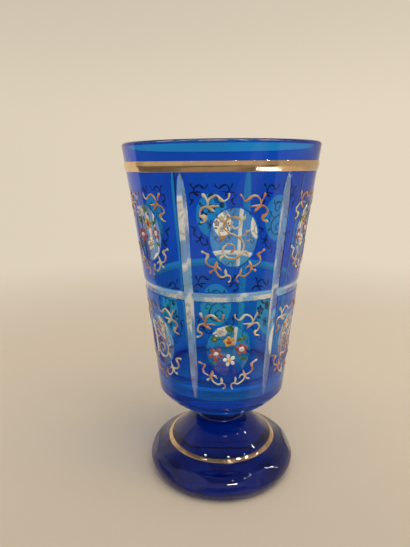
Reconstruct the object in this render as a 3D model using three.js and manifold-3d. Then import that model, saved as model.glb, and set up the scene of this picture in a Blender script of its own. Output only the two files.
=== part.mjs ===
// A footed tumbler of clear crystal cased in cobalt glass and cut through to the clear.
// Millimetres, +Z up, origin at the centre of the ground base. Angles run from the front (-Y) towards +X.
import * as THREE from "three";
import { mergeVertices } from "three/addons/utils/BufferGeometryUtils.js";
import Module from "manifold-3d";

const wasm = await Module();
wasm.setup();

// Whole glass
const height = 151;
const rimRadius = 42;
const panels = 6;
const roundSides = 48;

// Bowl wall, from the rim down to the shoulder
const shoulderZ = 45;
const shoulderRadius = 29.2;
const wallHollow = 0.6;
const rimWall = 2.4;
const shoulderWall = 4;
const lipRound = 0.9;
const wallSteps = 2;

// Underside of the bowl, a quarter ellipse that ends in a flat on the collar
const undersideDrop = 11;
const undersideFlatRadius = 15;
const undersideSteps = 5;

// Inside of the bowl
const floorThickness = 16;
const floorRound = 10;
const floorRoundSteps = 4;
const floorRise = 0.8;

// Cobalt casing fused over the crystal
const casing = 0.5;
const fuseGap = 0.1;

// Mitre cuts that divide the panels, one upright between each two and one belt all round
const mitreDepth = 1.3;
const mitreWidth = 4.8;
const mitreTopRun = 16;
const mitreEndAboveShoulder = 1.5;
const mitreEndRun = 16;
const mitreRunSteps = 3;
const beltZ = 92.4;
const beltDepth = 1.1;
const beltWidth = 4.1;

// Oval lens cuts, two to a panel, one above the belt and one below it
const ovalWidth = 18.6;
const ovalHeight = 23.2;
const ovalDepth = 1.4;
const ovalAboveBelt = 23.6;
const ovalBelowBelt = 22.9;
const upperOvalLead = -1;
const lowerOvalLead = -3;
const ovalSides = 20;
const ovalRings = 2;

// How far every cutting tool stands out of the glass
const toolClear = 1.2;

// Gilt band under the rim, with a low ridge along its middle. The upright cuts start at its lower edge
const bandBelowRim = 7.4;
const bandHeight = 4;
const giltThickness = 0.2;
const giltGap = 0.05;
const bandRidge = 0.15;

// Collar between bowl and stem
const collarRadius = 14.7;
const collarThickness = 1.5;
const collarSteps = 3;

// Foot: stem, dome and a thick rounded edge
const stemRadius = 10.6;
const stemFillet = 1.2;
const stemFilletSteps = 3;
const stemHeight = 7.1;
const edgeRound = 6;
const edgeCentreRadius = 28.2;
const edgeTopAngle = 21;
const domeTopRun = 5.1;
const domeTopFall = 0.8;
const domeSkirtRun = 9.2;
const domeSkirtRise = 3.9;
const domeSteps = 7;
const edgeSteps = 7;
const pontilRadius = 12;
const pontilDepth = 1;
const pontilSteps = 3;

// Gilt ring on the foot
const footRingRadius = 25.2;
const footRingWidth = 2;

// Flat ovals cut on the rounded edge of the foot
const facetDepth = 1.1;
const facetTilt = 32;
const facetLead = -4.5;
const facetToolWidth = 36;
const facetToolHeight = 24;

// Levels worked out from the sizes above
const undersideZ = shoulderZ - undersideDrop;
const stemTopZ = undersideZ - collarThickness;
const domeTopZ = stemTopZ - stemHeight;
const floorZ = undersideZ + floorThickness;
const mitreEndZ = shoulderZ + mitreEndAboveShoulder;
const bandTopZ = height - bandBelowRim;
const mitreTopZ = bandTopZ - bandHeight;

const degrees = Math.PI / 180;
const weldWithin = 1e-5;
const point = (r, z) => new THREE.Vector2(r, z);

// Outer radius of the bowl wall at a height, a straight taper drawn in a little at the middle
function wallRadius(z) {
  const t = (height - z) / (height - shoulderZ);
  return rimRadius + (shoulderRadius - rimRadius) * t - 4 * wallHollow * t * (1 - t);
}

// Wall thickness at a height, growing from the rim to the shoulder
function wallThickness(z) {
  return rimWall + ((shoulderWall - rimWall) * (height - z)) / (height - shoulderZ);
}

// Points of the outer wall between two heights, from the top down
function wallPoints(topZ, endZ, steps) {
  return Array.from({ length: steps + 1 }, (_, i) => {
    const z = topZ + ((endZ - topZ) * i) / steps;
    return point(wallRadius(z), z);
  });
}

// Points of the underside, from the shoulder to the middle of the flat
function undersidePoints() {
  const across = shoulderRadius - undersideFlatRadius;
  const curve = Array.from({ length: undersideSteps }, (_, i) => {
    const turn = ((i + 1) / undersideSteps) * (Math.PI / 2);
    const r = undersideFlatRadius + across * Math.cos(turn);
    return point(r, shoulderZ - undersideDrop * Math.sin(turn));
  });
  return [...curve, point(0, undersideZ)];
}

// A profile moved sideways by a distance, with every straight of it kept parallel
function offsetProfile(points, distance) {
  return points.map((p, i) => {
    const before = i > 0 ? p.clone().sub(points[i - 1]).normalize() : null;
    const after = i < points.length - 1 ? points[i + 1].clone().sub(p).normalize() : null;
    const a = before ?? after;
    const b = after ?? before;
    const sideA = point(a.y, -a.x);
    const sideB = point(b.y, -b.x);
    const middle = sideA.clone().add(sideB).normalize();
    const reach = distance / middle.dot(sideA);
    return p.clone().addScaledVector(middle, reach);
  });
}

// Points of an arc round a centre, from one angle to another, angles from +r towards +z
function arcPoints(centreR, centreZ, radius, from, to, steps) {
  return Array.from({ length: steps + 1 }, (_, i) => {
    const turn = (from + ((to - from) * i) / steps) * degrees;
    return point(centreR + radius * Math.cos(turn), centreZ + radius * Math.sin(turn));
  });
}

// The point of a profile at a radius (axis x) or at a height (axis y)
function pointOn(profile, axis, value) {
  const crosses = (p, i) => i > 0 && (p[axis] - value) * (profile[i - 1][axis] - value) <= 0;
  const after = profile.findIndex(crosses);
  const [a, b] = [profile[after - 1], profile[after]];
  return a.clone().lerp(b, (value - a[axis]) / (b[axis] - a[axis]));
}

// A solid of revolution round Z from a closed profile
function revolve(profile) {
  const geometry = new THREE.LatheGeometry([...profile, profile[0]], roundSides);
  geometry.rotateX(Math.PI / 2);
  return solidOf(geometry);
}

// A closed geometry as a solid that can be joined and cut, with its faces turned outwards
function solidOf(geometry) {
  geometry.deleteAttribute("normal");
  geometry.deleteAttribute("uv");
  const merged = mergeVertices(geometry, weldWithin);
  const corners = merged.attributes.position.array;
  const kept = [];
  const index = merged.index.array;
  for (let i = 0; i < index.length; i += 3) {
    const [a, b, c] = [index[i], index[i + 1], index[i + 2]];
    if (a !== b && b !== c && c !== a) kept.push(a, b, c);
  }
  if (signedVolume(corners, kept) < 0) {
    for (let i = 0; i < kept.length; i += 3) [kept[i], kept[i + 1]] = [kept[i + 1], kept[i]];
  }
  const mesh = new wasm.Mesh({
    numProp: 3,
    vertProperties: new Float32Array(corners),
    triVerts: new Uint32Array(kept),
  });
  return new wasm.Manifold(mesh);
}

// Six times the volume that a set of triangles closes in, negative if they face inwards
function signedVolume(corners, index) {
  let total = 0;
  const [a, b, c] = [new THREE.Vector3(), new THREE.Vector3(), new THREE.Vector3()];
  for (let i = 0; i < index.length; i += 3) {
    a.fromArray(corners, index[i] * 3);
    b.fromArray(corners, index[i + 1] * 3);
    c.fromArray(corners, index[i + 2] * 3);
    total += a.dot(b.cross(c));
  }
  return total;
}

// The angle of a panel's middle, or of the cut after it when half a step is added
const panelAngle = (i) => (i * 360) / panels;

// Moves a tool made at the front (-Y) round the glass by an angle
function turned(geometry, angle) {
  return geometry.clone().rotateZ(angle * degrees);
}

// The mitre wheel's upright path: a V that runs out to a point at both ends
function uprightMitre() {
  const spread = mitreWidth / 2 / mitreDepth;
  const stations = [];
  for (let i = 0; i <= mitreRunSteps; i++) {
    const share = i / mitreRunSteps;
    stations.push([mitreTopZ - mitreTopRun * share, mitreDepth * Math.sqrt(share * (2 - share))]);
  }
  for (let i = mitreRunSteps; i >= 0; i--) {
    const share = i / mitreRunSteps;
    stations.push([mitreEndZ + mitreEndRun * share, mitreDepth * Math.sqrt(share * (2 - share))]);
  }
  const middle = (stations[mitreRunSteps][0] + stations[mitreRunSteps + 1][0]) / 2;
  stations.splice(mitreRunSteps + 1, 0, [middle, mitreDepth]);
  const corners = [];
  for (const [z, depth] of stations) {
    const r = wallRadius(z);
    const half = (depth + toolClear) * spread;
    corners.push([0, -(r - depth), z], [half, -(r + toolClear), z], [-half, -(r + toolClear), z]);
  }
  const endPoint = (z) => [0, -(wallRadius(z) + toolClear / 2), z];
  return loft(corners, 3, endPoint(mitreTopZ), endPoint(mitreEndZ));
}

// A solid through a row of sections with equal numbers of corners, closed by a point at each end
function loft(corners, sides, first, last) {
  const index = [];
  const rings = corners.length / sides;
  for (let ring = 0; ring < rings - 1; ring++) {
    for (let side = 0; side < sides; side++) {
      const a = ring * sides + side;
      const b = ring * sides + ((side + 1) % sides);
      index.push(a, b, a + sides, b, b + sides, a + sides);
    }
  }
  const firstAt = corners.length;
  const endRing = (rings - 1) * sides;
  for (let side = 0; side < sides; side++) {
    const next = (side + 1) % sides;
    index.push(firstAt, next, side, endRing + side, endRing + next, firstAt + 1);
  }
  const geometry = new THREE.BufferGeometry();
  const all = [...corners, first, last].flat();
  geometry.setAttribute("position", new THREE.Float32BufferAttribute(all, 3));
  geometry.setIndex(index);
  return geometry;
}

// The belt cut, the same V taken all round
function beltTool() {
  const r = wallRadius(beltZ);
  const half = ((beltDepth + toolClear) * beltWidth) / 2 / beltDepth;
  return revolve([
    point(r - beltDepth, beltZ),
    point(r + toolClear, beltZ - half),
    point(r + toolClear, beltZ + half),
  ]);
}

// The lens wheel for one oval: a shallow dish that follows the wall, deepest at its middle
function ovalTool(z, lead) {
  const reach = Math.sqrt(1 + toolClear / ovalDepth);
  const dishPoint = (share, turn) => {
    const level = z + (ovalHeight / 2) * share * Math.sin(turn);
    const angle = ((ovalWidth / 2) * share * Math.cos(turn)) / wallRadius(z);
    const r = wallRadius(level) - ovalDepth * (1 - share ** 2);
    return [r * Math.sin(angle), -r * Math.cos(angle), level];
  };
  const corners = [];
  for (let ring = 1; ring <= ovalRings; ring++) {
    for (let side = 0; side < ovalSides; side++) {
      corners.push(dishPoint((reach * ring) / ovalRings, (side / ovalSides) * 2 * Math.PI));
    }
  }
  const deepest = dishPoint(0, 0);
  const back = [0, -(wallRadius(z) + 2 * toolClear), z];
  return turned(loft(corners, ovalSides, deepest, back), lead);
}

// Every cut on the bowl, as one tool
function bowlCuts() {
  const upright = uprightMitre();
  const upper = ovalTool(beltZ + ovalAboveBelt, upperOvalLead);
  const lower = ovalTool(beltZ - ovalBelowBelt, lowerOvalLead);
  let cuts = beltTool();
  for (let i = 0; i < panels; i++) {
    cuts = cuts.add(solidOf(turned(upright, panelAngle(i + 0.5))));
    cuts = cuts.add(solidOf(turned(upper, panelAngle(i))));
    cuts = cuts.add(solidOf(turned(lower, panelAngle(i))));
  }
  return cuts;
}

// The bowl's outer skin at a depth under the surface, from the rim to the middle of the underside
function skin(depth) {
  const surface = [
    ...wallPoints(height, beltZ, wallSteps),
    ...wallPoints(beltZ, shoulderZ, wallSteps).slice(1),
    ...undersidePoints(),
  ];
  const moved = offsetProfile(surface, depth);
  const [rim, below] = moved;
  const slope = (rim.x - below.x) / (rim.y - below.y);
  moved[0] = point(rim.x + (height - rim.y) * slope, height);
  moved[moved.length - 1].x = 0;
  return moved;
}

// Clear crystal lining, the body of the bowl
function bowlCrystal(cuts) {
  const insideAt = (z) => wallRadius(z) - wallThickness(z);
  const floorCorner = floorZ + floorRise + floorRound;
  const inside = Array.from({ length: 2 * wallSteps + 1 }, (_, i) => {
    const z = floorCorner + ((height - lipRound - floorCorner) * i) / (2 * wallSteps);
    return point(insideAt(z), z);
  });
  const cornerR = insideAt(floorCorner) - floorRound;
  const corner = arcPoints(cornerR, floorCorner, floorRound, -90, 0, floorRoundSteps);
  const lip = point(insideAt(height) + lipRound, height);
  const outside = skin(casing + fuseGap);
  return revolve([point(0, floorZ), ...corner.slice(0, -1), ...inside, lip, ...outside]).subtract(cuts);
}

// Cobalt casing above the belt: the rim, and six tongues with an oval window each
function casingUpper(cuts) {
  const outer = skin(0).slice(0, wallSteps + 1);
  const inner = skin(casing).slice(0, wallSteps + 1);
  return revolve([...outer, ...inner.reverse()]).subtract(cuts);
}

// Cobalt casing below the belt: a cup with six windowed tongues
function casingLower(cuts) {
  const outer = skin(0).slice(wallSteps);
  const inner = skin(casing).slice(wallSteps);
  return revolve([...outer, ...inner.reverse()]).subtract(cuts);
}

// Gilt band under the rim, its ridge splitting the light in two
function rimGilding() {
  const under = skin(-giltGap);
  const over = skin(-giltGap - giltThickness);
  const ridge = pointOn(over, "y", bandTopZ - bandHeight / 2);
  ridge.x += bandRidge;
  return revolve([
    pointOn(under, "y", mitreTopZ),
    pointOn(over, "y", mitreTopZ),
    ridge,
    pointOn(over, "y", bandTopZ),
    pointOn(under, "y", bandTopZ),
  ]);
}

// Collar of glass that joins the bowl to the stem, rounded at its edge
function collar() {
  const round = collarThickness / 2;
  const edge = arcPoints(collarRadius - round, stemTopZ + round, round, -90, 90, collarSteps);
  return revolve([point(0, stemTopZ), ...edge, point(0, undersideZ)]);
}

// The outline of the foot's dome, from the rounded edge in to the stem
function domePoints() {
  const turn = (90 - edgeTopAngle) * degrees;
  const endR = edgeCentreRadius + edgeRound * Math.cos(turn);
  const endZ = edgeRound + edgeRound * Math.sin(turn);
  const startR = stemRadius + stemFillet;
  const curve = new THREE.CubicBezierCurve(
    point(endR, endZ),
    point(endR - domeSkirtRun, endZ + domeSkirtRise),
    point(startR + domeTopRun, domeTopZ - domeTopFall),
    point(startR, domeTopZ)
  );
  return curve.getPoints(domeSteps);
}

// The polished hollow under the foot, from its middle out to the ground base
function pontilPoints() {
  return Array.from({ length: pontilSteps + 1 }, (_, i) => {
    const share = i / pontilSteps;
    return point(pontilRadius * share, pontilDepth * (1 - share ** 2));
  });
}

// Stem, dome and rounded edge, all one thick piece of cobalt glass with a polished pontil under it
function foot() {
  const edge = arcPoints(edgeCentreRadius, edgeRound, edgeRound, -90, 90 - edgeTopAngle, edgeSteps);
  const filletZ = domeTopZ + stemFillet;
  const filletR = stemRadius + stemFillet;
  const fillet = arcPoints(filletR, filletZ, stemFillet, -90, -180, stemFilletSteps);
  const body = revolve([
    ...pontilPoints(),
    ...edge,
    ...domePoints().slice(1),
    ...fillet.slice(1),
    point(stemRadius, stemTopZ),
    point(0, stemTopZ),
  ]);
  return body.subtract(footFacets());
}

// Flat cuts round the foot's edge, one under each upright cut of the bowl
function footFacets() {
  const tilt = facetTilt * degrees;
  const out = edgeRound - facetDepth;
  let tools = null;
  for (let i = 0; i < panels; i++) {
    const slab = new THREE.BoxGeometry(facetToolWidth, edgeRound, facetToolHeight);
    slab.translate(0, -edgeRound / 2, 0);
    slab.rotateX(-tilt);
    slab.translate(0, -edgeCentreRadius - out * Math.cos(tilt), edgeRound + out * Math.sin(tilt));
    const tool = solidOf(turned(slab, panelAngle(i + 0.5) + facetLead));
    tools = tools ? tools.add(tool) : tool;
  }
  return tools;
}

// Gilt ring laid on the dome of the foot
function footGilding() {
  const ringInner = footRingRadius - footRingWidth;
  const bends = domePoints().filter((p) => p.x > ringInner && p.x < footRingRadius);
  const outer = pointOn(domePoints(), "x", footRingRadius);
  const seat = [outer, ...bends, pointOn(domePoints(), "x", ringInner)];
  const raised = (rise) => seat.map((p) => point(p.x, p.y + rise));
  return revolve([...raised(giltGap), ...raised(giltGap + giltThickness).reverse()]);
}

// A finished solid as a named mesh with its own material
function piece(name, solid, look) {
  const { vertProperties, triVerts } = solid.getMesh();
  const geometry = new THREE.BufferGeometry();
  geometry.setAttribute("position", new THREE.Float32BufferAttribute(vertProperties, 3));
  geometry.setIndex(Array.from(triVerts));
  geometry.computeVertexNormals();
  const mesh = new THREE.Mesh(geometry, new THREE.MeshStandardMaterial(look));
  mesh.name = name;
  return mesh;
}

const clearGlass = { color: 0xdfe9ee, roughness: 0.02, metalness: 0 };
const cobaltGlass = { color: 0x1a3fae, roughness: 0.02, metalness: 0 };
const deepCobalt = { color: 0x1c2270, roughness: 0.02, metalness: 0 };
const gilt = { color: 0xc79a4e, roughness: 0.25, metalness: 1 };

const cuts = bowlCuts();
const tumbler = new THREE.Group();
tumbler.add(
  piece("bowl_crystal", bowlCrystal(cuts), clearGlass),
  piece("casing_upper", casingUpper(cuts), cobaltGlass),
  piece("casing_lower", casingLower(cuts), cobaltGlass),
  piece("rim_gilding", rimGilding(), gilt),
  piece("collar", collar(), deepCobalt),
  piece("foot", foot(), deepCobalt),
  piece("foot_gilding", footGilding(), gilt)
);

export default tumbler;
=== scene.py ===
# %% [markdown]
# # A tumbler of cased, cut and gilded crystal
# The real glass is blown in clear crystal, dipped in a thin skin of cobalt glass, and then cut: wherever
# the wheel goes through the skin, the clear glass shows. Gilding and enamel are painted on last. The looks
# are built in that order here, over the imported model, which gives the sizes and the places.

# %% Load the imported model
import math

import bmesh
import bpy
import numpy as np
from mathutils import Matrix, Vector


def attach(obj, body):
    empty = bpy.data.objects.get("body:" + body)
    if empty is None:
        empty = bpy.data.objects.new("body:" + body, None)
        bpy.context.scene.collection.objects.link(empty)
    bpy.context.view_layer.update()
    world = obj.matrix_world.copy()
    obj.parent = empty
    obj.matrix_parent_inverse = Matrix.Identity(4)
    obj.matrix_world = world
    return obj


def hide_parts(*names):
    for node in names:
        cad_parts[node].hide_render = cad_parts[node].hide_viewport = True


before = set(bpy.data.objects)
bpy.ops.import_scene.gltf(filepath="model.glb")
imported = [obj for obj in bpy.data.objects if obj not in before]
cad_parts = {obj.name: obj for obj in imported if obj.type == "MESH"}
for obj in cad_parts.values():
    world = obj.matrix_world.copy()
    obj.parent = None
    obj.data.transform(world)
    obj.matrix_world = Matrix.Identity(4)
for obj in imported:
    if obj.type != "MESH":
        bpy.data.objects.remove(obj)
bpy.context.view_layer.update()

MM = 0.001
print("nodes of the model:", ", ".join(sorted(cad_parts)))

# %% [markdown]
# ## The sizes
# The model is exact but faceted, so its curves can't be read off its meshes. The same few sizes that drew
# the model draw the fine surfaces too, in millimetres, and a metre is only met when a mesh is made. A few
# differ for the looks: the skin can be nearly as thin here as on the real glass, so its cuts are shallower,
# the rim has a bead, and the bowl turns in at a tighter shoulder.

# %% Sizes of the bowl, in millimetres
HEIGHT, RIM_RADIUS = 151.0, 42.0
SHOULDER_Z, SHOULDER_RADIUS, WALL_HOLLOW = 45.0, 29.2, 0.6
RIM_WALL, SHOULDER_WALL, LIP_ROUND = 2.05, 4.0, 1.3
BEAD, BEAD_RUN = 0.65, 9.0
UNDERSIDE_TOP, UNDERSIDE_Z, UNDERSIDE_FLAT = 42.5, 34.0, 15.0
DEEP_TOP, DEEP_END = 42.4, 38.6
FLOOR_Z, FLOOR_RISE, FLOOR_ROUND, FLOOR_REACH = 50.0, 0.3, 6.0, 6.0
CASING, FUSE_GAP = 0.12, 0.02

# %% Sizes of the cuts, in millimetres
PANELS = 6
SECTOR = 2 * math.pi / PANELS
MITRE_DEPTH, MITRE_WIDTH, MITRE_EASE = 1.1, 4.8, 0.25
MITRE_TOP, MITRE_TOP_RUN = 139.6, 16.0
MITRE_END, MITRE_END_RUN = 46.5, 16.0
BELT_Z, BELT_DEPTH, BELT_WIDTH = 92.4, 0.55, 4.4
OVAL_WIDTH, OVAL_HEIGHT, OVAL_DEPTH = 18.6, 23.2, 1.4
OVALS = {"upper": (116.0, math.radians(-1)), "lower": (69.5, math.radians(-3))}

# %% [markdown]
# ## The wall and its cuts as functions
# A cut glass wall is easiest to think of as one smooth wall and a depth map. The wall gives a radius for
# every height. The depth map says how far the wheels went in at every angle and height. Sculpting the cuts
# or subtracting solids would also work, but a function can be asked for any point, so the same lines give
# the crystal, the cobalt skin, and later the seat of every painted stroke.

# %% The wall
def wall_radius(z):
    """Outer radius: a straight taper from rim to shoulder, drawn in by a parabola, deepest half way."""
    t = (HEIGHT - z) / (HEIGHT - SHOULDER_Z)
    return RIM_RADIUS + (SHOULDER_RADIUS - RIM_RADIUS) * t - 4 * WALL_HOLLOW * t * (1 - t)


def wall_thickness(z):
    """Thickness: a straight line from rim to shoulder, and a bead at the rim that fades out by a square."""
    bead = BEAD * np.clip(1 - (HEIGHT - z) / BEAD_RUN, 0, 1) ** 2
    return RIM_WALL + (SHOULDER_WALL - RIM_WALL) * (HEIGHT - z) / (HEIGHT - SHOULDER_Z) + bead


print("wall radius at rim, belt and shoulder:", wall_radius(np.array([HEIGHT, BELT_Z, SHOULDER_Z])).round(2))

# %% The depth that each wheel reaches
MITRE_SPREAD = MITRE_WIDTH / 2 / MITRE_DEPTH


def mitre_floor(z):
    """Depth along the middle: it eases off in a straight line downwards, and by a quarter round at a tip."""
    share = np.clip(np.minimum((MITRE_TOP - z) / MITRE_TOP_RUN, (z - MITRE_END) / MITRE_END_RUN), 0, 1)
    full = MITRE_DEPTH - MITRE_EASE * (MITRE_TOP - z) / (MITRE_TOP - MITRE_END)
    return full * np.sqrt(share * (2 - share))


def mitre_cut(theta, z):
    """Depth of the V: its floor's depth, less the way round the wall to the nearest cut over its spread."""
    turns = theta / SECTOR - 0.5
    away = np.abs(turns - np.round(turns)) * SECTOR * wall_radius(z)
    return mitre_floor(z) - away / MITRE_SPREAD


def belt_cut(z):
    """Depth of the belt: a V that is deepest at its own height."""
    return BELT_DEPTH * (1 - np.abs(z - BELT_Z) / (BELT_WIDTH / 2))


def oval_cut(theta, z, row):
    """Depth of a lens cut: full depth times one less the squared distance from its middle, in half sizes."""
    middle, lead = OVALS[row]
    turns = (theta - lead) / SECTOR
    across = (turns - np.round(turns)) * SECTOR * wall_radius(middle) / (OVAL_WIDTH / 2)
    return OVAL_DEPTH * (1 - across**2 - ((z - middle) / (OVAL_HEIGHT / 2)) ** 2)


def lip_cut(z):
    """Depth of the fire-polished lip: how far a quarter circle has turned in below the rim."""
    up = np.clip(z - (HEIGHT - LIP_ROUND), 0, LIP_ROUND)
    return LIP_ROUND - np.sqrt(LIP_ROUND**2 - up**2)


def cut_depth(theta, z):
    """The deepest of all the cuts at a point, and nothing where no wheel went."""
    cuts = [mitre_cut(theta, z), belt_cut(z), lip_cut(z)] + [oval_cut(theta, z, row) for row in OVALS]
    return np.maximum(0, np.maximum.reduce([c + 0 * theta for c in cuts]))


oval_z, oval_lead = OVALS["upper"]
print("depth in the middle of an upper oval:", float(cut_depth(np.array(oval_lead), np.array(oval_z))), "mm")

# %% [markdown]
# ## From a grid of numbers to a mesh
# Every piece is one or more grids of points. A helper stacks the grids, welds the points that two grids
# share, turns the closed skin to face outwards and marks the edges that the wheels left sharp.

# %% Helpers that make a piece
def ring_points(r, theta, z):
    """Points at a radius, an angle from the front (-Y) towards +X, and a height."""
    return np.stack([r * np.sin(theta), -r * np.cos(theta), z + 0 * theta], axis=-1)


def grid_faces(rows, cols):
    """The four corners of every cell of a grid whose points are counted row by row."""
    first = (np.arange(rows - 1)[:, None] * cols + np.arange(cols - 1)).ravel()
    return np.stack([first, first + 1, first + cols + 1, first + cols], axis=-1)


def weld(mesh, distance, outwards):
    """Makes one point of those that lie together, turns the faces outwards, and counts open edges."""
    shape = bmesh.new()
    shape.from_mesh(mesh)
    bmesh.ops.remove_doubles(shape, verts=shape.verts, dist=distance)
    if outwards:
        bmesh.ops.recalc_face_normals(shape, faces=shape.faces)
    open_edges = sum(not e.is_manifold for e in shape.edges)
    shape.to_mesh(mesh)
    shape.free()
    mesh.shade_smooth()
    return open_edges


def add_object(name, data):
    """Puts a mesh, a lamp or a camera into the scene."""
    piece = bpy.data.objects.new(name, data)
    bpy.context.scene.collection.objects.link(piece)
    return piece


def make_piece(name, grids, materials, sharp=None):
    """Makes a mesh of grids, each (points, slot) with the slot one number or one for every cell."""
    points, faces, slots, start = [], [], [], 0
    for grid, slot in grids:
        rows, cols = grid.shape[:2]
        cells = grid_faces(rows, cols) + start
        points.append(grid.reshape(-1, 3))
        faces.append(cells)
        slots.append(np.broadcast_to(slot, (rows - 1, cols - 1)).ravel())
        start += rows * cols
    mesh = bpy.data.meshes.new(name)
    mesh.from_pydata((np.concatenate(points) * MM).tolist(), [], np.concatenate(faces).tolist())
    mesh.polygons.foreach_set("material_index", np.concatenate(slots).astype(np.int32))
    for material in materials:
        mesh.materials.append(material)
    open_edges = weld(mesh, 1e-7, outwards=True)
    if sharp is not None:
        mesh.set_sharp_from_angle(angle=math.radians(sharp))
    piece = add_object(name, mesh)
    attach(piece, "root")
    print(f"{name}: {len(mesh.polygons)} faces, {open_edges} open edges")
    return piece


# %% [markdown]
# ## Laying the grid along the cuts
# A wheel leaves a crisp line where it enters the wall and where it breaks through the skin. Those lines
# stay crisp only if edges of the mesh lie on them. So each panel is a fan of straight rays from the middle of
# its oval to the panel's border, with rings on both lines of the oval, and each groove is a strip whose
# long edges are its own lines. The cells that the skin still covers are marked as cased.

# %% Lines of the grid on the wall
CASED, CUT = 0, 1
SIDE_STEPS, TOP_STEPS, DISH_RINGS, PANEL_RINGS, GROOVE_STEPS = 44, 26, 9, 9, 6
CROWDING, TIP_SHARE = 0.65, 0.05


def groove_lines(depth, spread):
    """Distances from a groove's middle to its lines: edge, break-through, then even steps to the middle."""
    through = np.maximum(depth - CASING, 0) * spread
    inner = through[..., None] * np.linspace(1, 0, GROOVE_STEPS + 1)
    return np.concatenate([(depth * spread)[..., None], inner], axis=-1)


def groove_angles(levels):
    """The lines of an upright groove at some heights as angles from its middle, on one side and the other."""
    lines = groove_lines(mitre_floor(levels), MITRE_SPREAD) / wall_radius(levels)[:, None]
    return np.concatenate([-lines, lines[:, -2::-1]], axis=1)


def side_levels(row):
    """Heights down a panel's side, closer near the tip of the cut, one of them where it breaks through."""
    tip = MITRE_TOP if row == "upper" else MITRE_END
    edge = BELT_Z + (BELT_WIDTH / 2 if row == "upper" else -BELT_WIDTH / 2)
    share = np.linspace(0, 1, SIDE_STEPS + 1)
    levels = tip + (edge - tip) * ((1 - CROWDING) * share + CROWDING * share**2)
    near = tip + (edge - tip) * np.linspace(0, TIP_SHARE, 20001)
    breaks = np.interp(CASING, mitre_floor(near), near)
    levels[1 + np.argmin(np.abs(levels[1:] - breaks))] = breaks
    return levels


def border_angle(z):
    """Angle from a panel's middle to the edge of the upright cut beside it."""
    return SECTOR / 2 - mitre_floor(z) * MITRE_SPREAD / wall_radius(z)


print("levels down an upper panel:", side_levels("upper")[[0, 1, 2, -1]].round(2))

# %% The grids of one panel, its groove, its piece of belt and their crossing
def panel_grids(panel, row):
    """Grids of angle, height and cover for one panel of a row, with the groove and belt on its +X side."""
    levels = side_levels(row)
    across = np.linspace(-1, 1, TOP_STEPS + 1)
    side = border_angle(levels)
    tip, edge = levels[0], levels[-1]
    border_a = np.concatenate([side[::-1][:-1], side[0] * across[::-1][:-1], -side[:-1], side[-1] * across])
    border_z = np.concatenate([levels[::-1][:-1], tip + 0 * across[:-1], levels[:-1], edge + 0 * across])
    middle, lead = OVALS[row]
    out_a, out_z = border_a - lead, border_z - middle
    reach = np.hypot(out_a * wall_radius(middle) / (OVAL_WIDTH / 2), out_z / (OVAL_HEIGHT / 2))
    through = math.sqrt(1 - CASING / OVAL_DEPTH)
    dish = np.concatenate([np.linspace(0, through, DISH_RINGS), np.linspace(through, 1, 4)[1:]])
    steps = [share / reach for share in dish]
    steps += [1 / reach + (1 - 1 / reach) * k / PANEL_RINGS for k in range(1, PANEL_RINGS + 1)]
    fan = np.array(steps)
    cover = np.where(np.arange(len(steps) - 1) < DISH_RINGS - 1, CUT, CASED)[:, None]
    centre = panel * SECTOR
    grids = [(centre + lead + fan * out_a, middle + fan * out_z, cover)]

    # The upright groove, from its tip to the belt
    lines = groove_angles(levels)
    cover = np.full(lines.shape[1] - 1, CUT)
    cover[[0, -1]] = CASED
    cut_angle = centre + SECTOR / 2
    grids.append((cut_angle + lines, levels[:, None] + 0 * lines, cover))

    # The half of the belt on this row's side, and its crossing with the groove
    sign = 1 if row == "upper" else -1
    belt_lines = BELT_Z + sign * groove_lines(np.array(BELT_DEPTH), BELT_WIDTH / 2 / BELT_DEPTH)
    belt_cover = np.full(len(belt_lines) - 1, CUT)
    belt_cover[0] = CASED
    belt_angles = centre + border_angle(belt_lines)[:, None] * across
    grids.append((belt_angles, belt_lines[:, None] + 0 * belt_angles, belt_cover[:, None]))
    lines = groove_angles(belt_lines)
    crossing = np.maximum(belt_cover[:, None], cover)
    grids.append((cut_angle + lines, belt_lines[:, None] + 0 * lines, crossing))
    return grids


# %% The grid above the cuts, up to where the lip breaks through the skin
LIP_THROUGH = HEIGHT - LIP_ROUND + math.sqrt(2 * LIP_ROUND * CASING - CASING**2)
TOP_ANGLES = border_angle(np.array(MITRE_TOP)) * np.linspace(-1, 1, TOP_STEPS + 1)[:-1]
AROUND = np.concatenate([k * SECTOR + TOP_ANGLES for k in range(PANELS)] + [[(PANELS - 0.5) * SECTOR]])


def rim_levels():
    """Heights from the tips of the cuts to the lip: even on the wall, then even turns of the lip's round."""
    turn = np.arccos(1 - CASING / LIP_ROUND)
    wall = np.linspace(MITRE_TOP, HEIGHT - LIP_ROUND, 9)
    return np.concatenate([wall, HEIGHT - LIP_ROUND + LIP_ROUND * np.sin(np.linspace(0, turn, 5)[1:])])


rim_z = rim_levels()[:, None] + 0 * AROUND
rim_grid = (AROUND + 0 * rim_z, rim_z, np.array([[CASED]]))
print("points round the rim:", len(AROUND) - 1)
print("the skin ends", round(HEIGHT - LIP_THROUGH, 2), "mm below the rim")

# %% The outline below the cuts: shoulder, rounded underside and the flat on the collar
SHOULDER_POWER, CONE_POWER = 0.92, 1.86
JOINT_RADII = 14.0, 7.0, 0.0


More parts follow.
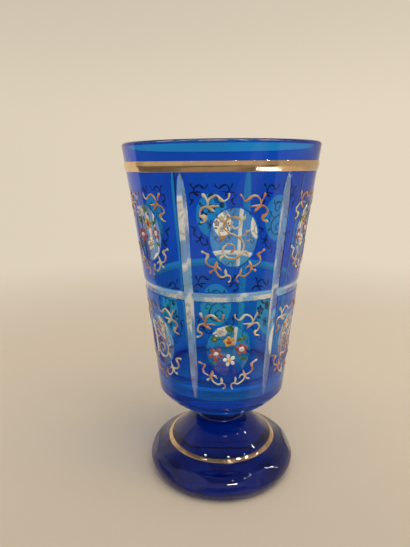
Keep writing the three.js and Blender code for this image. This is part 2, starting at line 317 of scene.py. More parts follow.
def underside_outline(depth):
    """The foot of the wall, then a tight shoulder that runs out into a cone, then the flat, all moved in by a
    depth along the normal. The curve goes in by a power of the cosine and down by a power of the sine."""
    wall_z = np.linspace(MITRE_END, UNDERSIDE_TOP, 4)[:-1]
    wall = np.stack([wall_radius(wall_z) - depth, wall_z], axis=-1)
    turn = np.radians(np.linspace(0, 89.5, 26))
    across, drop = wall_radius(UNDERSIDE_TOP) - UNDERSIDE_FLAT, UNDERSIDE_TOP - UNDERSIDE_Z
    curve_r = UNDERSIDE_FLAT + across * np.cos(turn) ** SHOULDER_POWER
    curve = np.stack([curve_r, UNDERSIDE_TOP - drop * np.sin(turn) ** CONE_POWER], axis=-1)
    ahead = np.gradient(curve, axis=0)
    ahead[0], ahead[-1] = (0, -1), (-1, 0)
    normal = np.stack([-ahead[:, 1], ahead[:, 0]], axis=-1)
    curve -= depth * normal / np.linalg.norm(normal, axis=-1, keepdims=True)
    flat = np.array([[r, UNDERSIDE_Z + depth] for r in JOINT_RADII])
    return np.concatenate([wall, curve, flat])


def revolved(outline, angles):
    """Every point of an outline carried round the axis."""
    return ring_points(outline[:, :1], angles[None, :], outline[:, 1:])


UNDER_ROWS = len(underside_outline(0.0))
print("rows under the shoulder:", UNDER_ROWS)

# %% [markdown]
# ## Building a material from nodes
# Every finish here is a small graph of shader nodes. Added by hand, each node takes four or five lines. One
# helper makes a node, and for each of its inputs either sets a value or draws a link, so that a graph reads
# like a formula. A second helper gives the mottling that nearly every finish has: noise on Object
# coordinates, which stays with the piece, and two tones that drift into each other with it.

# %% Helpers that make a material
def new_material(name):
    """An empty node material and its node tree."""
    material = bpy.data.materials.new(name)
    material.use_nodes = True
    material.node_tree.nodes.clear()
    return material, material.node_tree


def add(tree, kind, inputs=None, **settings):
    """Adds a node. An input given as another node's output is linked, and any other is set as a value."""
    node = tree.nodes.new("ShaderNode" + kind)
    for name, value in settings.items():
        setattr(node, name, value)
    for slot, value in (inputs or {}).items():
        socket = node.inputs[slot]
        if isinstance(value, bpy.types.NodeSocket):
            tree.links.new(value, socket)
        else:
            socket.default_value = (*value, 1) if socket.type == "RGBA" else value
    return node


def mix_shaders(tree, share, first, second):
    """The second shader by a share, and the first by what is left."""
    return add(tree, "MixShader", {0: share, 1: first.outputs[0], 2: second.outputs[0]})


def mottled(tree, scale, detail, spread, deep, pale):
    """Noise, and a deep and a pale tone that meet where the noise is within a spread of one half."""
    place = add(tree, "TexCoord").outputs["Object"]
    noise = add(tree, "TexNoise", {"Vector": place, "Scale": scale, "Detail": detail}).outputs["Fac"]
    tone = add(tree, "ValToRGB", {0: noise})
    for stop, position, colour in zip(tone.color_ramp.elements, (0.5 - spread, 0.5 + spread), (deep, pale)):
        stop.position, stop.color = position, (*colour, 1)
    return noise, tone.outputs[0]


# %% [markdown]
# ## Glass
# Two kinds of surface bound the glass. Where glass meets air, light bends and glints: that is an ordinary
# glass shader. Where the cobalt skin is fused to the crystal, nothing bends, because the two are one
# lump: that face only colours the light, so it is a plain transparent shader. Together they make light
# cross the cobalt once for each wall, as in the real glass, and the cuts stay clear. Light inside the glass
# itself takes no colour, because all the colour is in the skin.
#
# Real glass isn't even. Its tint drifts where the skin was gathered thicker or thinner, the fire polish
# leaves a slow swell that wavers what is seen through it, the wheel leaves the cuts satin, and old glass is
# slightly clouded. Each of these is one number of the same shader.

# %% Glass materials
GLASS_IOR = 1.52
SWELL_HEIGHT = 0.0004
COBALT, LOW_COBALT, UNDER_COBALT = (0.012, 0.28, 0.86), (0.02, 0.40, 0.95), (0.01, 0.28, 0.80)
DEEP_COBALT, COLLAR_COBALT, FOOT_COBALT = (0.003, 0.09, 0.30), (0.01, 0.24, 0.80), (0.0006, 0.012, 0.22)
CLEAR, CLEAR_SHADE = (0.985, 0.992, 0.99), (0.96, 0.97, 0.97)
SKIN_SHADE, DEEP_SHADE, FOOT_SHADE = (0.8, 0.88, 0.98), (0.6, 0.68, 0.85), (0.38, 0.42, 0.58)
HAZE_LOW, HAZE_TOP, HAZE = 0.046, 0.060, 0.24


def glass(name, tint, shade, cloud=0.0, drift=0.12, wave=0.3, per_metre=45.0, rough=0.0, haze=None):
    """Glass to air: a clear dielectric that lets lamps through in a shade of its own.

    Its tint drifts between tint * (1 - drift) and tint * (1 + drift) over a few centimetres, and the swell
    bends the light with the same noise. A share of the light, cloud, is scattered. With haze, that share
    grows from cloud at one height to haze at a lower one.
    """
    material, tree = new_material(name)
    deep, pale = (tuple(min(c * share, 1.0) for c in tint) for share in (1 - drift, 1 + drift))
    noise, tone = mottled(tree, per_metre, 1.0, 0.15, deep, pale)
    swell = add(tree, "Bump", {"Height": noise, "Strength": wave, "Distance": SWELL_HEIGHT}).outputs[0]
    body = add(tree, "BsdfPrincipled", {"Base Color": tone, "Normal": swell, "Roughness": rough,
                                        "IOR": GLASS_IOR, "Transmission Weight": 1.0 - cloud})
    if haze:
        height = add(tree, "SeparateXYZ", {0: add(tree, "TexCoord").outputs["Object"]}).outputs["Z"]
        fade = add(tree, "MapRange", {"Value": height, "From Min": HAZE_LOW, "From Max": HAZE_TOP,
                                      "To Min": 1.0 - haze, "To Max": 1.0 - cloud})
        tree.links.new(fade.outputs[0], body.inputs["Transmission Weight"])
    through = add(tree, "BsdfTransparent", {"Color": shade})
    is_shadow = add(tree, "LightPath").outputs["Is Shadow Ray"]
    add(tree, "OutputMaterial", {"Surface": mix_shaders(tree, is_shadow, body, through).outputs[0]})
    return material


def fused(name, tint, seam=(0.0, 0.0, 0.0), cloud=0.0):
    """Glass fused to glass: light goes straight on, tinted, and a share of it is scattered at the seam."""
    material, tree = new_material(name)
    face = add(tree, "BsdfTransparent", {"Color": tint})
    matt = add(tree, "BsdfDiffuse", {"Color": seam})
    add(tree, "OutputMaterial", {"Surface": mix_shaders(tree, cloud, face, matt).outputs[0]})
    return material


def half_way(colour):
    """The square root of a colour: the glass shader tints light by it outside, and the skin's back again."""
    return tuple(math.sqrt(c) for c in colour)


crystal_glass = glass("clear crystal", CLEAR, CLEAR_SHADE, drift=0.008)
crystal_fused = fused("crystal under the skin", (1.0, 1.0, 1.0))
oval_glass = glass("polished ovals", CLEAR, CLEAR_SHADE, 0.05, 0.008)
cut_glass = glass("wheel-cut crystal", CLEAR, CLEAR_SHADE, 0.22, 0.008, rough=0.13)
casing_glass = glass("cobalt skin", COBALT, SKIN_SHADE)
casing_fused = fused("cobalt skin fused to crystal", half_way(COBALT))
low_glass = glass("thinner cobalt skin below", LOW_COBALT, SKIN_SHADE, haze=HAZE)
low_fused = fused("thinner cobalt skin fused to crystal", half_way(LOW_COBALT))
under_glass = glass("clouded cobalt skin underneath", UNDER_COBALT, SKIN_SHADE, 0.1)
under_fused = fused("clouded cobalt skin fused to crystal", half_way(UNDER_COBALT))
shoulder_glass = glass("deeper cobalt skin under the shoulder", DEEP_COBALT, DEEP_SHADE, 0.1)
collar_glass = glass("cobalt collar", COLLAR_COBALT, DEEP_SHADE)
foot_glass = glass("deep cobalt skin of the foot", FOOT_COBALT, FOOT_SHADE, 0.08, wave=0.4, per_metre=170.0)
base_glass = glass("polished base of the foot", (0.98, 0.98, 0.98), CLEAR_SHADE, drift=0.01)
foot_fused = fused("joint of the foot", (0.3, 0.93, 1.0), (0.01, 0.6, 1.0), 0.18)
print("light through one wall of skin, above and below the belt:", COBALT, LOW_COBALT)

# %% [markdown]
# ## The cobalt skin
# The skin is an eighth of a millimetre thick. On the outside it follows the cuts. On the inside it follows
# the smooth crystal. The two meet where a wheel broke through, so each half of the skin is a closed body
# with windows in it. The lower half also wraps the underside, with a deeper ring just under the shoulder,
# where the glass was gathered to be joined to the stem.

# %% The two halves of the skin
def cover_cells(grid, skin):
    """The wall's points for a grid of angle and height: outside, at the skin's back, or on the crystal."""
    theta, z, cover = grid
    depth = cut_depth(theta, z)
    if skin == "outside":
        depth = np.minimum(depth, CASING)
    elif skin == "back":
        depth = CASING + 0 * depth
    else:
        depth = np.maximum(depth, CASING + FUSE_GAP)
    return ring_points(wall_radius(z) - depth, theta, z)


def only_cased(points, cover):
    """The runs of rows and columns of a grid that the skin still covers, each as a grid of its own."""
    cover = np.broadcast_to(cover, (points.shape[0] - 1, points.shape[1] - 1))
    runs = []
    for axis in (1, 0):
        is_open = (cover == CUT).all(axis=axis)
        runs.append(np.split(np.arange(len(is_open)), np.flatnonzero(np.diff(is_open)) + 1))
    for rows in runs[0]:
        for cols in runs[1]:
            if not (cover[np.ix_(rows, cols)] == CUT).any():
                yield points[rows[0] : rows[-1] + 2, cols[0] : cols[-1] + 2]


def skin_grids(row):
    """The outside and the back of one half of the skin, in the two glass slots."""
    grids = [g for k in range(PANELS) for g in panel_grids(k, row)]
    if row == "upper":
        grids.append(rim_grid)
    sides = []
    for side, slot in (("outside", 0), ("back", 1)):
        for grid in grids:
            sides += [(cells, slot) for cells in only_cased(cover_cells(grid, side), grid[2])]
    return sides


casing_upper = make_piece("skin_upper", skin_grids("upper"), [casing_glass, casing_fused], sharp=7)
under_z = underside_outline(0.0)[1:, 1]
in_ring = (under_z < DEEP_TOP) & (under_z > DEEP_END)
on_collar = np.arange(UNDER_ROWS - 1) >= UNDER_ROWS - len(JOINT_RADII)
outer_slots = np.where(on_collar, 3, np.where(in_ring, 4, 2))[:, None]
low_grids = skin_grids("lower")
low_grids.append((revolved(underside_outline(0.0), AROUND), outer_slots))
low_grids.append((revolved(underside_outline(CASING), AROUND), 3))
low_materials = [low_glass, low_fused, under_glass, under_fused, shoulder_glass]
casing_lower = make_piece("skin_lower", low_grids, low_materials, sharp=7)
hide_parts("casing_upper")
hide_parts("casing_lower")

# %% [markdown]
# ## The crystal
# Under the skin is the crystal, and in the cuts it is bare: satin in the grooves, polished in the upper
# ovals, and quite clear in the lower ones. Inside, the bowl is smooth: a tapering wall, a round corner and a
# thick, nearly flat floor that works as a lens.

# %% The crystal bowl
def inner_radius(z):
    """Inner radius: the outer one less the thickness."""
    return wall_radius(z) - wall_thickness(z)


def inside_outline():
    """Over the lip by two quarter ellipses, down the inner wall, round the corner and in to the middle."""
    start = np.pi / 2 - np.arccos(1 - CASING / LIP_ROUND)
    turn = np.linspace(start, -np.pi / 2, 24)
    wall_top = HEIGHT - LIP_ROUND
    lip_z = wall_top + LIP_ROUND * np.cos(turn)
    half_width = np.where(turn > 0, LIP_ROUND, wall_thickness(wall_top) - LIP_ROUND)
    lip = np.stack([wall_radius(lip_z) - LIP_ROUND + half_width * np.sin(turn), lip_z], -1)
    corner_z = FLOOR_Z + FLOOR_RISE + FLOOR_ROUND
    bead_end = HEIGHT - BEAD_RUN
    z = np.concatenate([np.linspace(wall_top, bead_end, 13)[1:], np.linspace(bead_end, corner_z, 40)[1:]])
    wall = np.stack([inner_radius(z), z], -1)
    turn = np.radians(np.linspace(0, 90, 24)[1:])
    corner_r = inner_radius(corner_z) - FLOOR_REACH
    corner = np.stack([corner_r + FLOOR_REACH * np.cos(turn), corner_z - FLOOR_ROUND * np.sin(turn)], -1)
    r = np.linspace(corner_r, 0, 8)[1:]
    floor = np.stack([r, FLOOR_Z + FLOOR_RISE * (r / corner_r) ** 2], -1)
    return np.concatenate([lip, wall, corner, floor])


print("inside of the bowl, first and last points:", inside_outline()[[0, -1]].round(2).tolist())
OVAL_SLOTS, GROOVE_SLOT = {"upper": 3, "lower": 0}, 2
bowl_grids = []
for panel, row in [(k, row) for k in range(PANELS) for row in OVALS]:
    for i, grid in enumerate(panel_grids(panel, row)):
        bare = OVAL_SLOTS[row] if i == 0 else GROOVE_SLOT
        bowl_grids.append((cover_cells(grid, "crystal"), np.where(grid[2] == CUT, bare, 1)))
bowl_grids.append((cover_cells(rim_grid, "crystal"), 1))
bowl_grids.append((revolved(underside_outline(CASING + FUSE_GAP), AROUND), 1))
inside = inside_outline()
inside[0] = [wall_radius(LIP_THROUGH) - CASING - FUSE_GAP, LIP_THROUGH]
bowl_grids.append((revolved(inside, AROUND), 0))
bowl_materials = [crystal_glass, crystal_fused, cut_glass, oval_glass]
crystal = make_piece("crystal_bowl", bowl_grids, bowl_materials, sharp=7)
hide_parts("bowl_crystal")

# %% [markdown]
# ## The foot and the collar
# The foot is cased as well, in a skin so deep that it is nearly black where light crosses it twice. Its base
# is polished clear, so light that enters the bowl can run down the stem and out to the table. The joint of
# stem and collar scatters a little of that light, as hot glass pressed together does. The stem widens
# slightly upwards, so that it mirrors the dark foot and not the pale table.
#
# Six ovals are ground flat on the round edge. Cutting them out with solids would leave new, uneven faces. A
# plane that pushes back every point beyond it makes the same flat and keeps the grid.

# %% Sizes of the foot, in millimetres
COLLAR_RADIUS, COLLAR_THICKNESS = 14.7, 1.5
STEM_RADIUS, STEM_FLARE, STEM_FILLET, STEM_HEIGHT = 10.6, 0.3, 1.2, 7.1
EDGE_ROUND, EDGE_CENTRE, EDGE_TOP = 6.0, 28.2, 21.0
DOME_TOP_RUN, DOME_TOP_FALL, DOME_SKIRT_RUN, DOME_SKIRT_RISE = 5.1, 0.8, 9.2, 3.9
PONTIL_RADIUS, PONTIL_DEPTH = 12.0, 1.0
PONTIL_ROWS, BASE_ROWS = 10, 4
FACET_DEPTH, FACET_TILT, FACET_LEAD = 1.1, math.radians(32), math.radians(-4.5)
STEM_TOP = UNDERSIDE_Z - COLLAR_THICKNESS
DOME_TOP = STEM_TOP - STEM_HEIGHT
STEM_EASE = 0.2
STEM_JOINT = STEM_RADIUS - STEM_EASE, STEM_RADIUS / 2, 0.0
COLLAR_JOINT = 13.9, 7.0, 0.0

# %% The outline of the foot
def arc(centre_r, centre_z, radius, start, end, steps):
    """Points of a circle's arc, angles in degrees from +r towards +z."""
    turn = np.radians(np.linspace(start, end, steps))
    return np.stack([centre_r + radius * np.cos(turn), centre_z + radius * np.sin(turn)], -1)


def dome_outline(steps):
    """A cubic curve from the round edge up to the stem, by the four weights of its control points."""
    turn = math.radians(90 - EDGE_TOP)
    end = np.array([EDGE_CENTRE + EDGE_ROUND * math.cos(turn), EDGE_ROUND + EDGE_ROUND * math.sin(turn)])
    top = np.array([STEM_RADIUS + STEM_FILLET, DOME_TOP])
    skirt, crown = end + [-DOME_SKIRT_RUN, DOME_SKIRT_RISE], top + [DOME_TOP_RUN, -DOME_TOP_FALL]
    t = np.linspace(0, 1, steps)[:, None]
    return (1 - t) ** 3 * end + 3 * (1 - t) ** 2 * t * skirt + 3 * (1 - t) * t**2 * crown + t**3 * top


def foot_outline():
    """Pontil hollow, ground base, round edge, dome, fillet, stem and the joint under the collar."""
    r = np.linspace(0, PONTIL_RADIUS, PONTIL_ROWS)
    pontil = np.stack([r, PONTIL_DEPTH * (1 - (r / PONTIL_RADIUS) ** 2)], -1)
    r = np.linspace(PONTIL_RADIUS, EDGE_CENTRE, BASE_ROWS + 2)[1:-1]
    base = np.stack([r, 0 * r], -1)
    edge = arc(EDGE_CENTRE, EDGE_ROUND, EDGE_ROUND, -90, 90 - EDGE_TOP, 46)
    fillet = arc(STEM_RADIUS - STEM_FLARE + STEM_FILLET, DOME_TOP + STEM_FILLET, STEM_FILLET, -90, -180, 9)
    stem_z = np.linspace(DOME_TOP + STEM_FILLET, STEM_TOP - STEM_EASE, 6)[1:]
    stem = np.stack([STEM_RADIUS + STEM_FLARE * np.linspace(-0.6, 1, 5), stem_z], -1)
    joint = np.array([[r, STEM_TOP] for r in STEM_JOINT])
    return np.concatenate([pontil, base, edge, dome_outline(44)[1:], fillet[1:], stem, joint])


def ground_flats(points):
    """Moves every point that lies beyond a flat's plane straight back onto it."""
    out = EDGE_ROUND - FACET_DEPTH
    for k in range(PANELS):
        angle = (k + 0.5) * SECTOR + FACET_LEAD
        side = np.array([math.sin(angle), -math.cos(angle), 0.0])
        normal = side * math.cos(FACET_TILT) + np.array([0, 0, math.sin(FACET_TILT)])
        seat = side * EDGE_CENTRE + np.array([0, 0, EDGE_ROUND]) + out * normal
        beyond = np.maximum((points - seat) @ normal, 0)
        points = points - beyond[..., None] * normal
    return points


outline = foot_outline()
full_turn = np.linspace(0, 2 * math.pi, 361)
segments = np.arange(len(outline) - 1)
on_base, on_joint = segments < PONTIL_ROWS + BASE_ROWS, segments >= len(outline) - len(STEM_JOINT)
foot_slots = np.where(on_base, 2, np.where(on_joint, 1, 0))[:, None]
foot_points = ground_flats(revolved(outline, full_turn))
foot = make_piece("foot_cobalt", [(foot_points, foot_slots)], [foot_glass, foot_fused, base_glass], sharp=12)
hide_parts("foot")

# %% The collar, fused to the bowl above and to the stem below
def collar_outline():
    """A disc with a round edge, its upper and lower middles fused."""
    low, high = STEM_TOP + FUSE_GAP, UNDERSIDE_Z - FUSE_GAP
    round_off = (high - low) / 2
    edge = arc(COLLAR_RADIUS - round_off, low + round_off, round_off, -90, 90, 12)
    below = np.array([[r, low] for r in STEM_JOINT[::-1]])
    above = np.array([[r, high] for r in COLLAR_JOINT])
    return np.concatenate([below, edge, above])


outline = collar_outline()
segments = np.arange(len(outline) - 1)
on_joint = (segments < len(STEM_JOINT) - 1) | (segments >= len(outline) - len(COLLAR_JOINT))
collar_slots = np.where(on_joint, 1, 0)[:, None]
collar_grid = (revolved(outline, full_turn[::2]), collar_slots)
collar = make_piece("collar_cobalt", [collar_grid], [collar_glass, foot_fused], sharp=12)
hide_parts("collar")

# %% [markdown]
# ## Gilding
# The bands are bright gold, painted on and fired, then burnished. The one under the rim has a low ridge
# along its middle, so its upper half mirrors what is level with the eye and its lower half mirrors the
# table. The ring on the foot is browner and darker, which is painted shade for the dim things it mirrors,
# and its gold is less smooth.

# %% Gold
PAINT_RELIEF = 0.0001


def gold(name, deep, pale, roughness, grain, metal=1.0):
    """Burnished gold: a metal whose tone, roughness and height are broken a little by the same fine noise."""
    material, tree = new_material(name)
    noise, tone = mottled(tree, grain, 4.0, 0.1, deep, pale)
    rough = add(tree, "MapRange", {"Value": noise, "To Min": roughness * 0.7, "To Max": roughness * 1.4})
    relief = add(tree, "Bump", {"Height": noise, "Strength": 0.15, "Distance": PAINT_RELIEF})
    body = add(tree, "BsdfPrincipled", {"Base Color": tone, "Metallic": metal, "Roughness": rough.outputs[0],
                                        "Normal": relief.outputs[0]})
    add(tree, "OutputMaterial", {"Surface": body.outputs[0]})
    return material


band_gold = gold("burnished gold of the bands", (0.80, 0.55, 0.31), (0.88, 0.62, 0.36), 0.09, 220.0)
# The ring's gold is browner and darker than the bands': painted shade for the dim things it mirrors
ring_gold_painted_shade = gold("darker gold of the ring, painted shade", (0.62, 0.42, 0.27), (0.78, 0.55, 0.35), 0.12, 220.0)
print("gold made")

# %% The two bands
BAND_LOW, BAND_HEIGHT, BAND_RIDGE, RIDGE_ROUND = 139.6, 4.0, 0.28, 0.01
RING_INNER, RING_OUTER = 23.65, 25.4
GILT, GILT_GAP = 0.2, 0.05


def band_outline():
    """A thin closed strip on the wall that rises to a rounded ridge half way up. Each edge rounds off by a
    quarter ellipse, over an eighth of the way from edge to ridge."""
    place = np.sin(np.radians(np.linspace(-90, 90, 41)))
    z = BAND_LOW + BAND_HEIGHT * (1 + place) / 2
    share = np.abs(place)
    edge = 1 - np.clip((1 - share) * 8, 0, 1)
    rise = BAND_RIDGE * (1 - np.sqrt(share**2 + RIDGE_ROUND)) + GILT * np.sqrt(1 - edge**2)
    outer = np.stack([wall_radius(z) + GILT_GAP + np.maximum(rise, 0), z], -1)
    inner = np.stack([wall_radius(z[[-1, 0]]) + GILT_GAP, z[[-1, 0]]], -1)
    return np.concatenate([outer, inner])


def ring_outline():
    """A thin strip on the dome of the foot, raised by its thickness. Each edge falls off by a square root,
    over a sixth of the way from edge to middle."""
    dome = dome_outline(400)
    dome = dome[(dome[:, 0] > RING_INNER) & (dome[:, 0] < RING_OUTER)][::6]
    share = np.abs(np.linspace(-1, 1, len(dome)))
    top = dome + np.stack([0 * share, GILT_GAP + GILT * np.sqrt(np.clip((1 - share) * 6, 0, 1))], -1)
    seat = dome[::-1] + [0, GILT_GAP]
    return np.concatenate([top, seat[[0, len(seat) // 2, -1]]])


gilt_turn = np.linspace(0, 2 * math.pi, 241)
rim_band = make_piece("rim_gilding_band", [(revolved(band_outline(), gilt_turn), 0)], [band_gold], sharp=40)
foot_ring = make_piece("foot_gilding_ring", [(revolved(ring_outline(), gilt_turn), 0)], [ring_gold_painted_shade], sharp=40)
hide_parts("rim_gilding")
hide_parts("foot_gilding")

# %% [markdown]
# ## Painting on the glass
# Scrolls, vines and flowers are painted by hand in gold and enamel so thick that it stands proud of the
# glass. A picture wrapped round the bowl would be flat, with no edge to catch the light. So every brush
# stroke is a low closed ridge, laid out flat in millimetres round the middle of an oval, and then wrapped
# onto the cut wall.

# %% A brush stroke, a dab of paint, and the wrap onto the wall
SEAT, LINE_HEIGHT = 0.02, 0.27


def stroke(points, steps=3):
    """A smooth curve through points of (sideways, up, width) by four cubic weights, with a half ellipse for
    its section and a round end, where the width falls by the cosine as the line runs on by the sine."""
    p = np.asarray(points, float)
    p = np.concatenate([2 * p[:1] - p[1:2], p, 2 * p[-1:] - p[-2:-1]])
    t = np.linspace(0, len(p) - 3, steps * (len(p) - 3) + 1)
    i = np.minimum(t.astype(int), len(p) - 4)
    f = (t - i)[:, None]
    a, b, c, d = p[i], p[i + 1], p[i + 2], p[i + 3]
    line = b + f * (c - a) / 2 + f**2 * (a - 2.5 * b + 2 * c - d / 2) + f**3 * (-a + 3 * b - 3 * c + d) / 2
    middle, half = line[:, :2], np.maximum(line[:, 2:], 0.08) / 2
    ahead = np.gradient(middle, axis=0)
    ahead /= np.linalg.norm(ahead, axis=1, keepdims=True)
    cap = np.radians([[90.0], [45.0]])
    middle = np.concatenate([middle[:1] - ahead[:1] * half[:1] * np.sin(cap), middle,
                             middle[-1:] + ahead[-1:] * half[-1:] * np.sin(cap[::-1])])
    half = np.concatenate([half[:1] * np.cos(cap), half, half[-1:] * np.cos(cap[::-1])])
    ahead = np.concatenate([ahead[[0, 0]], ahead, ahead[[-1, -1]]])
    turn = np.radians([0.0, 45.0, 90.0, 135.0, 180.0, 0.0])
    wide = half * np.cos(turn)
    rise = SEAT + np.minimum(LINE_HEIGHT, 0.7 * half) * np.sin(turn)
    return np.stack([middle[:, :1] - ahead[:, 1:] * wide, middle[:, 1:] + ahead[:, :1] * wide, rise], -1)


def dab(u, v, length, width, turn=0.0, point=0.0, height=0.3):
    """A drop of paint: an oval, pinched to points by a power of the sine, and domed like a lens."""
    around = np.linspace(0, 2 * math.pi, 13)
    ring = np.array([[0.0], [1.0], [0.94], [0.74], [0.42], [0.0]])
    rise = np.array([[0.0], [0.0], [0.4], [0.72], [0.93], [1.0]])
    along = ring * length / 2 * np.cos(around)
    across = ring * width / 2 * np.sin(around) * np.abs(np.sin(around)) ** point
    a = math.radians(turn)
    up = SEAT + height * rise + 0 * along
    sideways = u + along * math.cos(a) - across * math.sin(a)
    return np.stack([sideways, v + along * math.sin(a) + across * math.cos(a), up], -1)


def wrap(panel, row, flat):
    """Sideways distance over the wall's radius gives the angle, and the depth map gives the seat."""
    middle, lead = OVALS[row]
    theta = panel * SECTOR + lead + flat[..., 0] / wall_radius(middle)
    z = middle + flat[..., 1]
    return ring_points(wall_radius(z) - cut_depth(theta, z) + flat[..., 2], theta, z)


print("faces in a stroke through eight points:", (len(stroke(np.eye(8, 3) * 9)) - 1) * 5)

# %% [markdown]
# ## The gold scrolls
# Each oval has a scroll at its four corners: two C curves that meet back to back at a small crossed leaf,
# with a round drop where the brush was lifted. The left corners mirror the right ones. No two are quite the
# same, as they are painted freehand, so every point is moved a little by seeded chance.

# %% Strokes of the scrolls, as sideways, up and width
LOW_SCROLL = [
    [(12.1, -5.4, 1.0), (11.0, -5.8, 0.55), (9.7, -6.6, 1.25), (10.6, -8.0, 0.8), (10.6, -9.4, 0.7),
     (9.6, -10.5, 0.65), (8.4, -11.1, 0.6), (7.1, -11.4, 0.6)],
    [(6.4, -8.8, 0.3), (6.8, -10.2, 1.2), (7.3, -11.6, 1.2), (7.6, -12.7, 0.3)],
    [(4.7, -12.3, 0.3), (5.4, -11.3, 0.7), (6.7, -10.9, 0.6)],
    [(7.4, -11.8, 0.4), (8.2, -12.7, 0.5), (8.9, -13.1, 1.1)],
    [(7.1, -11.6, 0.6), (6.6, -13.4, 0.6), (5.4, -14.7, 0.7), (3.9, -15.1, 0.7), (2.5, -14.4, 0.6),
     (1.5, -15.0, 0.5), (1.3, -16.3, 0.5), (2.0, -17.0, 0.7)],
    [(3.1, -11.9, 0.3), (3.1, -13.1, 1.2), (2.8, -14.4, 0.7)],
]
HIGH_SCROLL = [
    [(2.0, 15.7, 0.7), (2.4, 14.5, 0.5), (3.6, 13.5, 0.55), (4.8, 14.1, 1.2), (6.1, 15.3, 0.8),
     (7.7, 15.1, 0.75), (9.0, 13.8, 0.7), (9.4, 11.8, 0.65)],
    [(9.4, 12.8, 0.4), (10.1, 14.4, 0.55), (10.8, 15.6, 1.2)],
    [(5.4, 11.6, 0.3), (7.4, 11.7, 0.75), (9.7, 11.5, 0.6)],
    [(7.0, 9.7, 0.3), (8.1, 10.4, 1.0), (9.6, 11.4, 0.5)],
    [(9.6, 11.7, 0.6), (11.3, 11.2, 0.7), (12.3, 9.7, 0.7), (11.8, 8.4, 0.7), (10.5, 7.7, 1.4),
     (10.9, 6.3, 0.6), (12.2, 5.7, 0.8)],
]
UNEVEN = 0.16


def freehand(points, chance, wander=0.14, widen=1.08):
    """The same points, each moved by a small normal error in place, and its width by a share."""
    points = np.asarray(points, float)
    points[:, :2] += wander * chance.standard_normal((len(points), 2))
    points[:, 2] *= widen + UNEVEN * chance.standard_normal(len(points))
    return points


def scroll_grids(row):
    """All strokes round the six ovals of a row, the left ones with their sideways distances turned over."""
    chance = np.random.default_rng(11 if row == "upper" else 12)
    grids = []
    for panel in range(PANELS):
        for side in (1, -1):
            for points in LOW_SCROLL + HIGH_SCROLL:
                line = freehand(points, chance) * [side, 1, 1]
                grids.append((wrap(panel, row, stroke(line)), 0))
    return grids


scroll_gold = gold("painted gold", (0.72, 0.30, 0.10), (1.0, 0.88, 0.60), 0.28, 170.0, 0.4)
for row in OVALS:
    make_piece("gold_scrolls_" + row, scroll_grids(row), [scroll_gold])

# %% [markdown]
# ## The gold vines
# Every other oval holds a vine: one long stem that winds up in a curl at each end, with leaves and tendrils.
# The upper vines stand over lower bouquets, so from any side both can be seen.

# %% Strokes of a vine
VINE = [
    [(-0.7, 5.6, 1.3), (-0.9, 4.5, 0.8), (0.2, 3.5, 0.8), (1.8, 3.8, 0.85), (2.7, 5.3, 0.9), (2.1, 6.9, 0.9),
     (0.4, 7.8, 0.9), (-1.8, 7.3, 0.9), (-3.6, 5.7, 0.9), (-3.6, 3.4, 0.85), (-2.0, 1.9, 0.8),
     (0.4, 0.9, 0.8), (2.8, -0.8, 0.85), (4.0, -3.3, 0.95), (3.3, -6.1, 0.95), (1.0, -7.9, 0.95),
     (-1.8, -7.8, 0.9), (-3.9, -6.2, 0.8), (-4.0, -3.9, 0.75), (-2.4, -2.5, 0.7), (-0.3, -2.9, 0.65),
     (0.5, -4.6, 0.6), (-0.6, -5.4, 1.2)],
    [(-1.6, 1.6, 0.4), (-3.3, 0.5, 0.5), (-5.1, 0.8, 0.5), (-5.6, 2.1, 0.5), (-4.9, 2.9, 0.9)],
    [(-3.2, 0.5, 0.3), (-4.5, -0.5, 1.3), (-5.7, -1.1, 0.2)],
    [(1.9, -0.1, 0.4), (3.9, 0.9, 0.5), (5.7, 0.5, 0.5), (6.1, -0.8, 0.5), (5.3, -1.5, 0.9)],
    [(3.9, 0.9, 0.3), (5.0, 2.1, 1.3), (6.1, 2.7, 0.2)],
    [(-3.3, 5.9, 0.3), (-4.6, 6.6, 1.4), (-5.2, 8.0, 0.2)],
    [(2.4, 6.4, 0.3), (3.7, 7.2, 1.3), (4.1, 8.6, 0.2)],
    [(3.6, -5.3, 0.3), (5.1, -5.8, 1.3), (5.8, -7.0, 0.2)],
    [(-3.5, -6.7, 0.3), (-4.9, -7.4, 1.3), (-5.1, -8.8, 0.2)],
]
VINE_PANELS = {"upper": (0, 2, 4), "lower": (1, 3, 5)}


def vine_grids(row):
    """The strokes of the three vines of a row."""
    chance = np.random.default_rng(21 if row == "upper" else 22)
    return [(wrap(k, row, stroke(freehand(p, chance, 0.1, 0.95))), 0) for k in VINE_PANELS[row] for p in VINE]


for row in OVALS:
    make_piece("gold_vines_" + row, vine_grids(row), [scroll_gold])

# %% [markdown]
# ## The flowers
# The other ovals hold a bouquet in enamel, which is coloured glass ground to a paste and melted on. It is
# glossy, and its tone changes with its thickness. Each flower is a ring of dabs round a middle.

# %% Enamel
def enamel(name, deep, pale):
    """Glossy paint: two tones that drift into each other in fine noise, with a faint brush relief."""
    material, tree = new_material(name)
    noise, tone = mottled(tree, 900.0, 3.0, 0.12, deep, pale)
    relief = add(tree, "Bump", {"Height": noise, "Strength": 0.25, "Distance": PAINT_RELIEF}).outputs[0]
    body = add(tree, "BsdfPrincipled", {"Base Color": tone, "Roughness": 0.28, "Normal": relief})
    add(tree, "OutputMaterial", {"Surface": body.outputs[0]})
    return material


PAINTS = {
    "leaf_green": enamel("leaf green enamel", (0.03, 0.12, 0.025), (0.13, 0.27, 0.06)),
    "red": enamel("brick red enamel", (0.38, 0.045, 0.03), (0.62, 0.13, 0.07)),
    "white": enamel("white enamel", (0.82, 0.79, 0.72), (0.95, 0.94, 0.90)),
    "yellow": enamel("ochre yellow enamel", (0.62, 0.30, 0.05), (0.90, 0.62, 0.16)),
}
print("paints:", ", ".join(PAINTS))

